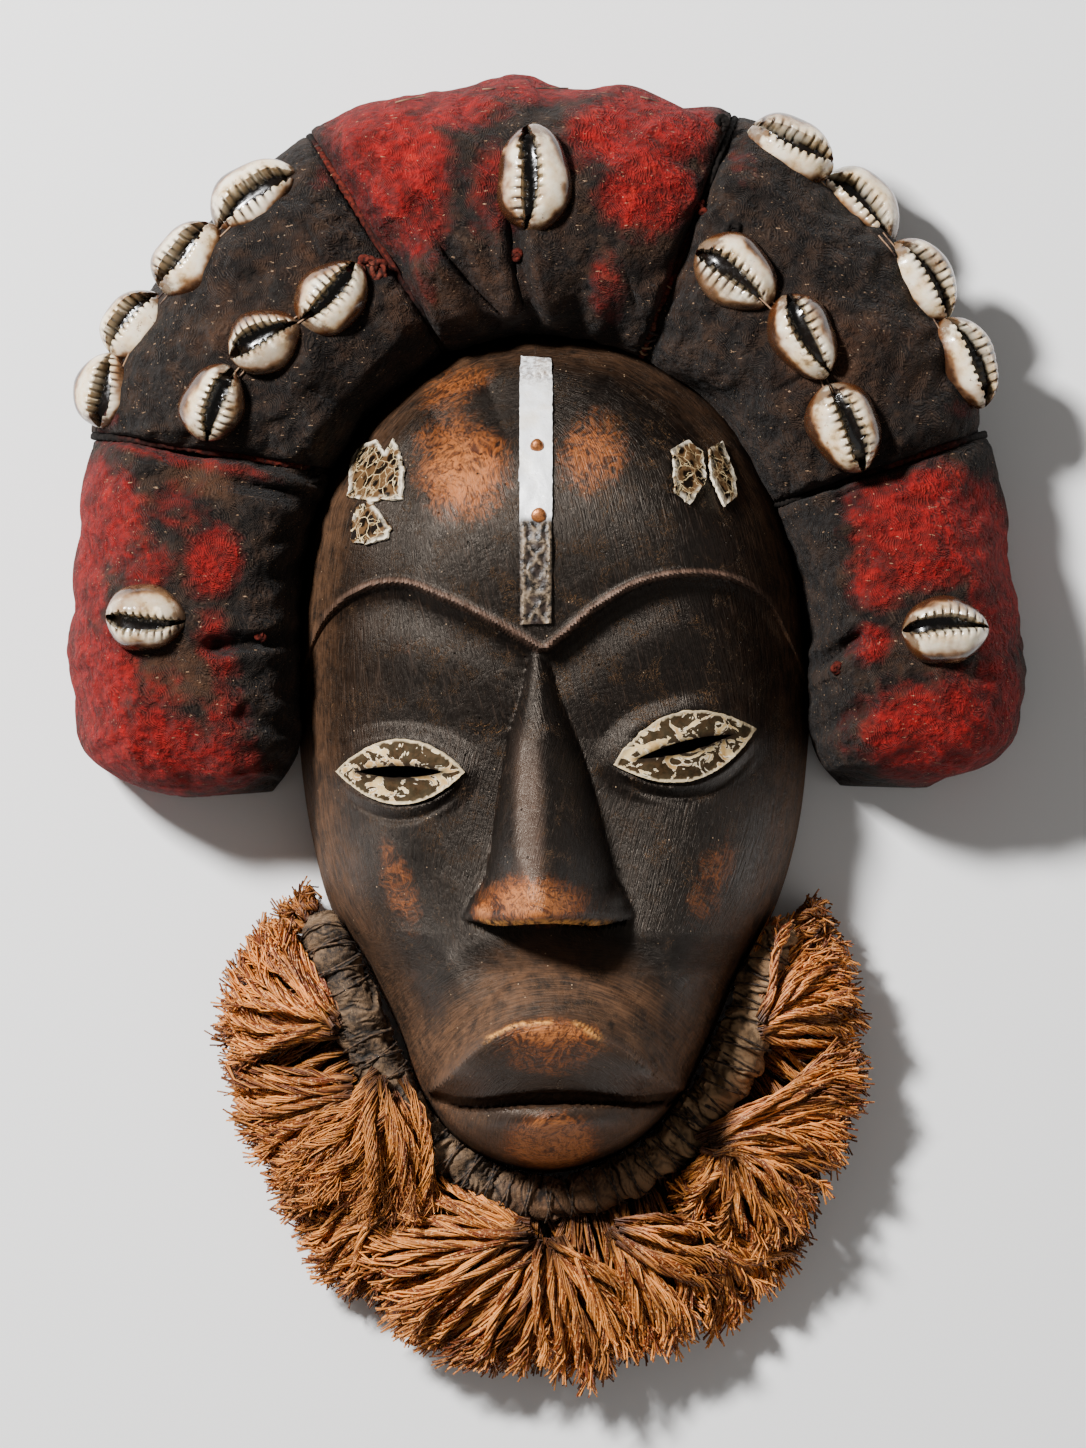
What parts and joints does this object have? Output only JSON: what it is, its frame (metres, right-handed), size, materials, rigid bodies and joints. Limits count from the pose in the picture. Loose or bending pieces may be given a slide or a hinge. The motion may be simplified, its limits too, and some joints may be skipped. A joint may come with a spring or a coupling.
{
  "type": "cowrie shell mask",
  "caption": "Hollow carved wooden face mask with a stuffed cloth headdress sewn with cowrie shells and a raffia ruff along the jaw.",
  "frame": {"origin": "on the surface the mask lies on, below the middle of the whole mask", "axes": "+Z out of the face, +Y towards the top of the headdress, +X to the viewer's right as the face is looked at"},
  "size_m": [0.27, 0.3726, 0.0985],
  "materials": {
    "wood": "dark, worn and rubbed, satin",
    "red_cloth": "worn woven cloth, matt, stained dark",
    "dark_cloth": "worn woven cloth, matt, dusty",
    "shell": "glossy natural shell",
    "bright_metal": "dull, scratched and part tarnished",
    "aged_metal": "tarnished and flaked",
    "nail": "dull",
    "cord": "matt wrapped cord",
    "raffia": "dry plant fibre, matt"
  },
  "bodies": {
    "root": {"carved_face": "wood", "headdress_left_lobe": "red_cloth", "headdress_left_panel": "dark_cloth", "headdress_top_panel": "red_cloth", "headdress_right_panel": "dark_cloth", "headdress_right_lobe": "red_cloth", "cowrie_left_outer_1": "shell", "cowrie_left_outer_2": "shell", "cowrie_left_outer_3": "shell", "cowrie_left_outer_4": "shell", "cowrie_left_inner_1": "shell", "cowrie_left_inner_2": "shell", "cowrie_left_inner_3": "shell", "cowrie_middle": "shell", "cowrie_right_outer_1": "shell", "cowrie_right_outer_2": "shell", "cowrie_right_outer_3": "shell", "cowrie_right_outer_4": "shell", "cowrie_right_inner_1": "shell", "cowrie_right_inner_2": "shell", "cowrie_right_inner_3": "shell", "cowrie_left_lobe": "shell", "cowrie_right_lobe": "shell", "forehead_strip": "bright_metal", "strip_nail_upper": "nail", "strip_nail_lower": "nail", "left_eye_plate": "aged_metal", "right_eye_plate": "aged_metal", "left_upper_temple_plate": "aged_metal", "left_lower_temple_plate": "aged_metal", "right_inner_temple_plate": "aged_metal", "right_outer_temple_plate": "aged_metal", "jaw_cord": "cord", "raffia_ruff": "raffia"}
  },
  "joints": []
}
